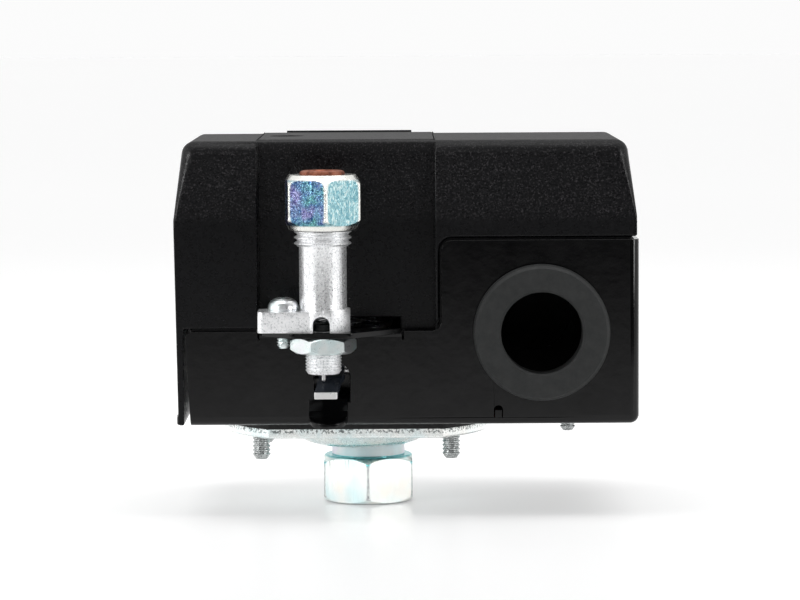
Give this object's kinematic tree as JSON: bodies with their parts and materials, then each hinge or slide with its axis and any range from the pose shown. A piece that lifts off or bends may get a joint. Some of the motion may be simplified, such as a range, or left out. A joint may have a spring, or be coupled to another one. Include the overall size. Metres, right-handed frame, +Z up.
{
  "type": "pressure switch",
  "caption": "Diaphragm pressure switch for an air compressor, with stepped steel base, plastic cover, cable grommet and side-mounted unloader valve.",
  "frame": {"origin": "centre of the pressure port's mouth, on the underside of the hexagon", "axes": "+Z up out of the pipe into the switch, +X towards the cable entry end, -Y towards the unloader valve"},
  "size_m": [0.1132, 0.089, 0.0924],
  "materials": {
    "gloss_black_paint": "gloss",
    "black_cover_plastic": "fine textured",
    "black_rubber": "matte",
    "zinc_plate": "bright zinc plate",
    "cast_zinc": "as cast",
    "spring_steel": "drawn",
    "plain_steel": "milled",
    "copper_sleeve": "dull",
    "brass": "bright",
    "silver_contact": "polished",
    "dark_phenolic": "satin",
    "red_carrier": "satin",
    "diaphragm_rubber": "matte",
    "black_lever_plastic": "satin",
    "black_lever_steel": "satin"
  },
  "bodies": {
    "base": {"base_housing": "gloss_black_paint", "front_grommet": "black_rubber", "rear_grommet": "black_rubber", "port_fitting": "zinc_plate", "flange_plate": "zinc_plate", "diaphragm": "diaphragm_rubber", "flange_screws": "zinc_plate", "ground_screws": "zinc_plate", "cover_post": "plain_steel", "unloader_body": "cast_zinc", "compression_sleeve": "copper_sleeve", "unloader_locknut": "zinc_plate", "unloader_foot_screw": "zinc_plate", "valve_spring": "spring_steel", "unloader_lever_pin": "plain_steel", "unloader_lever_bracket": "plain_steel", "lever_pivot_pin": "plain_steel", "pivot_ears": "plain_steel", "switch_frame": "zinc_plate", "frame_rivets": "plain_steel", "range_spring": "spring_steel", "range_spring_seat": "plain_steel", "range_nut": "zinc_plate", "differential_spring": "spring_steel", "differential_seat": "plain_steel", "differential_nut": "zinc_plate", "contact_block": "dark_phenolic", "block_screws": "zinc_plate", "terminal_plates": "brass", "terminal_screws": "brass", "fixed_contacts": "silver_contact", "auto_off_bracket": "zinc_plate", "auto_off_pin": "plain_steel"},
    "cover": {"cover": "black_cover_plastic", "cover_screw": "zinc_plate"},
    "compression_nut": {"compression_nut": "zinc_plate"},
    "valve_pin": {"valve_pin": "plain_steel", "valve_seal": "black_rubber"},
    "unloader_lever": {"unloader_lever": "black_lever_steel"},
    "main_lever": {"main_lever": "plain_steel"},
    "plunger": {"plunger": "plain_steel"},
    "contact_carrier": {"contact_carrier": "red_carrier", "moving_contacts": "brass", "contact_springs": "spring_steel"},
    "range_screw": {"range_screw": "zinc_plate"},
    "differential_screw": {"differential_screw": "zinc_plate"},
    "auto_off_lever": {"auto_off_lever": "black_lever_plastic"}
  },
  "joints": [
    {"name": "main_lever_hinge", "type": "hinge", "parent": "base", "child": "main_lever", "pos_m": [-0.0028, -0.01, 0.031], "axis": [1, 0, 0], "range_deg": [0, 3], "stiffness_Nm_per_rad": 2, "springref_deg": -1.15, "deforming": ["range_spring", "differential_spring"]},
    {"name": "plunger_slide", "type": "slide", "parent": "base", "child": "plunger", "axis": [0, 0, 1], "range_m": [0, 0.00052]},
    {"name": "contact_carrier_slide", "type": "slide", "parent": "base", "child": "contact_carrier", "axis": [0, 0, 1], "range_m": [0, 0.0013]},
    {"name": "unloader_lever_hinge", "type": "hinge", "parent": "base", "child": "unloader_lever", "pos_m": [-0.0082, -0.025, 0.0356], "axis": [-1, 0, 0], "range_deg": [0, 3.5]},
    {"name": "valve_pin_slide", "type": "slide", "parent": "base", "child": "valve_pin", "axis": [0, 0, 1], "range_m": [0, 0.0009], "deforming": ["valve_spring"]},
    {"name": "compression_nut_turn", "type": "hinge", "parent": "base", "child": "compression_nut", "pos_m": [-0.0103, -0.0393, 0.0775], "axis": [0, 0, 1], "continuous": true},
    {"name": "range_screw_turn", "type": "hinge", "parent": "base", "child": "range_screw", "pos_m": [-0.0028, 0, 0.065], "axis": [0, 0, 1], "continuous": true},
    {"name": "differential_screw_turn", "type": "hinge", "parent": "base", "child": "differential_screw", "pos_m": [-0.0028, 0.017, 0.06], "axis": [0, 0, 1], "continuous": true},
    {"name": "auto_off_lever_hinge", "type": "hinge", "parent": "base", "child": "auto_off_lever", "pos_m": [-0.0047, 0.0362, 0.04], "axis": [-1, 0, 0], "range_deg": [0, 25]},
    {"name": "cover_lift", "type": "slide", "parent": "base", "child": "cover", "axis": [0, 0, 1], "range_m": [0, 0.075]}
  ],
  "couplings": [
    {"joint": "main_lever_hinge", "follows": "plunger_slide", "rad_per_m": 100},
    {"joint": "contact_carrier_slide", "follows": "plunger_slide", "ratio": 2.4},
    {"joint": "unloader_lever_hinge", "follows": "plunger_slide", "rad_per_m": 114.29},
    {"joint": "valve_pin_slide", "follows": "plunger_slide", "ratio": 1.6343}
  ]
}
